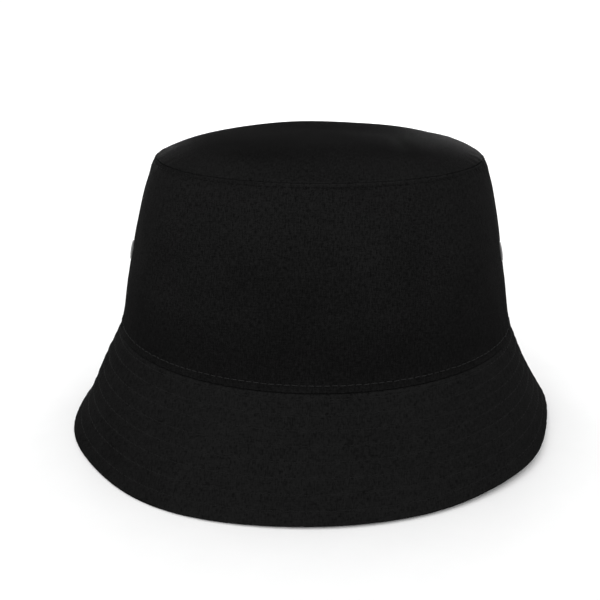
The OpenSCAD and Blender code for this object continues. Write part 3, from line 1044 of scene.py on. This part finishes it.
def eyelet_outline():
    """Half the section of a rolled eyelet: domed flange, barrel, and the roll that grips the washer."""
    hole, barrel, roll, flange = 2.35 * MM, 2.8 * MM, 3.5 * MM, 4.8 * MM
    face, end = 0.02 * MM, -1.18 * MM
    a = np.linspace(0, math.pi, 22)
    dome_r = (flange + hole) / 2 + (flange - hole) / 2 * np.cos(a)
    dome = np.stack([dome_r, face + 0.8 * MM * np.sin(a) ** 0.85], 1)
    a = np.linspace(math.pi, TAU, 16)
    roll_r = (roll + hole) / 2 + (roll - hole) / 2 * np.cos(a)
    rolled = np.stack([roll_r, end + 0.5 * MM * np.sin(a)], 1)
    return np.concatenate([dome, rolled, [[barrel, end], [barrel, face]]])


def washer_outline():
    """The section of a washer, with bevelled edges."""
    inner, outer, thick, soft = 2.85 * MM, 4.6 * MM, 0.4 * MM, 0.1 * MM
    return np.array([
        [inner, thick - soft], [inner + soft, thick], [outer - soft, thick], [outer, thick - soft],
        [outer, soft], [outer - soft, 0], [inner + soft, 0], [inner, soft],
    ])


for name, (turn, s) in EYELETS.items():
    lift = float(relief(np.array([turn]), np.array([s]))[0]) + 0.06 * MM
    centre = place(turn, s, lift)
    out = normal_at(turn, s, lift)
    ring = turned_on_axis(eyelet_outline(), centre, out)
    dress(f"eyelet_ring_{name}", [ring], enamel, [f"eyelet_{name}"])
    washer = turned_on_axis(washer_outline(), centre - out * 1.16 * MM, out)
    dress(f"eyelet_back_{name}", [washer], enamel, [f"eyelet_washer_{name}"])


HINGE = frame["record"]["behaviour"]["joints"][0]["pos_m"]


def label_shell():
    """A satin tape folded in two: its shell, its middle line in (y, z) and its places across."""
    low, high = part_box("care_label")
    ply, half_gap = 0.22 * MM, 0.2 * MM
    rows, columns = 26, 34
    top, bottom = HINGE[2] - 0.1 * MM, low.z + half_gap + ply / 2
    down = np.linspace(top, bottom, rows)
    bend = np.linspace(0, math.pi, 9)[1:-1]
    y = np.concatenate([np.full(rows, half_gap), half_gap * np.cos(bend), np.full(rows, -half_gap)])
    z = np.concatenate([down, bottom - half_gap * np.sin(bend), down[::-1]])
    line = np.stack([y, z], 1)
    along = unit(np.gradient(line, axis=0))
    side = np.stack([along[:, 1], -along[:, 0]], 1) * ply / 2
    x = np.linspace(low.x + 0.1 * MM, high.x - 0.1 * MM, columns)
    drop = np.clip((top - line[:, 1]) / (top - bottom), 0, 1)[:, None]
    wave = 0.5 * MM * np.sin(x[None, :] / (5.5 * MM) + 0.8) * drop ** 1.5 - 0.8 * MM * drop ** 2
    layers = []
    for sign in (1, -1):
        edge = line + sign * side
        grid = np.broadcast_arrays(x[None, :], HINGE[1] + edge[:, :1] + wave, edge[:, 1:])
        layers.append(np.stack(grid, -1).reshape(-1, 3))
    flat = np.stack(np.broadcast_arrays(x[None, :], run(line)[:, None]), -1).reshape(-1, 2)
    return skin(*layers, quads(len(line), len(x), False), flat), line, x


def label_roll(x):
    """The label's sewn edge: a slightly uneven roll along the hinge line."""
    count = 40
    roll_x = np.linspace(x[0], x[-1], count)
    roll_z = HINGE[2] + 0.02 * MM * np.sin(roll_x / (2 * MM))
    centres = np.stack([roll_x, np.full(count, HINGE[1]), roll_z], 1)[None]
    normals = np.broadcast_to(np.array([0.0, 0.0, 1.0]), centres.shape)
    radii = 0.42 * MM * (1 - 0.2 * np.abs(np.linspace(-1, 1, count)) ** 12)
    return tube(centres, normals, radii, x[-1] - x[0])


shell, label_line, label_x = label_shell()
label_parts = [shell, label_roll(label_x)]
label = dress("care_label_cloth", label_parts, satin, ["care_label"], "care_label")


# ---- camera, light and floor

# The camera: lens in mm, place in front of the axis and over the brim seam, and turns in degrees
LENS = 52.0
CAMERA_BACK = 0.4112
CAMERA_UP = 0.1444
CAMERA_DOWN = 18.45
CAMERA_ASIDE = 0.99


def studio():
    """The photograph's camera, a white floor, white light all round and low lights behind on both sides."""
    scene = bpy.context.scene
    camera_data = bpy.data.cameras.new("camera")
    camera_data.sensor_width = 36
    camera_data.lens = LENS
    camera = bpy.data.objects.new("camera", camera_data)
    scene.collection.objects.link(camera)
    camera.location = (0, -CAMERA_BACK, SEAM_Z + CAMERA_UP)
    camera.rotation_euler = (math.radians(90 - CAMERA_DOWN), 0, math.radians(CAMERA_ASIDE))
    scene.camera = camera
    light("key_light", (0.5, 1.5, 0.22), (0.05, 0, 0.12), (0.5, 0.3), 6)
    light("left_light", (-0.58, 1.5, 0.2), (-0.05, 0, 0.12), (0.4, 0.3), 5)
    light("front_light", (-0.6, -1.5, 0.9), (0, 0, 0.06), (1.0, 1.0), 6)
    world = bpy.data.worlds.new("white_room")
    scene.world = world
    world.use_nodes = True
    background = world.node_tree.nodes["Background"]
    background.inputs["Color"].default_value = grey(1.0)
    background.inputs["Strength"].default_value = 1.08
    scene.view_settings.view_transform = "Standard"
    floor()


def light(name, at, towards, size, power):
    """A white rectangular light at a place, turned towards another."""
    data = bpy.data.lights.new(name, "AREA")
    data.shape = "RECTANGLE"
    data.size, data.size_y = size
    data.energy = power
    lamp = bpy.data.objects.new(name, data)
    lamp.location = at
    lamp.rotation_euler = (Vector(towards) - Vector(at)).to_track_quat("-Z", "Y").to_euler()
    bpy.context.scene.collection.objects.link(lamp)


def floor():
    """A white board under the hat that runs out to the white of the room."""
    across = np.linspace(-40, 40, 41)
    x, y = np.meshgrid(across, across)
    points = np.stack([x, y, 0 * x], -1).reshape(-1, 3)
    faces = quads(len(across), len(across), False)
    board = solid("studio_board", [(points, faces, points[:, :2])])
    board.data.materials.append(floor_material("white_board"))


studio()
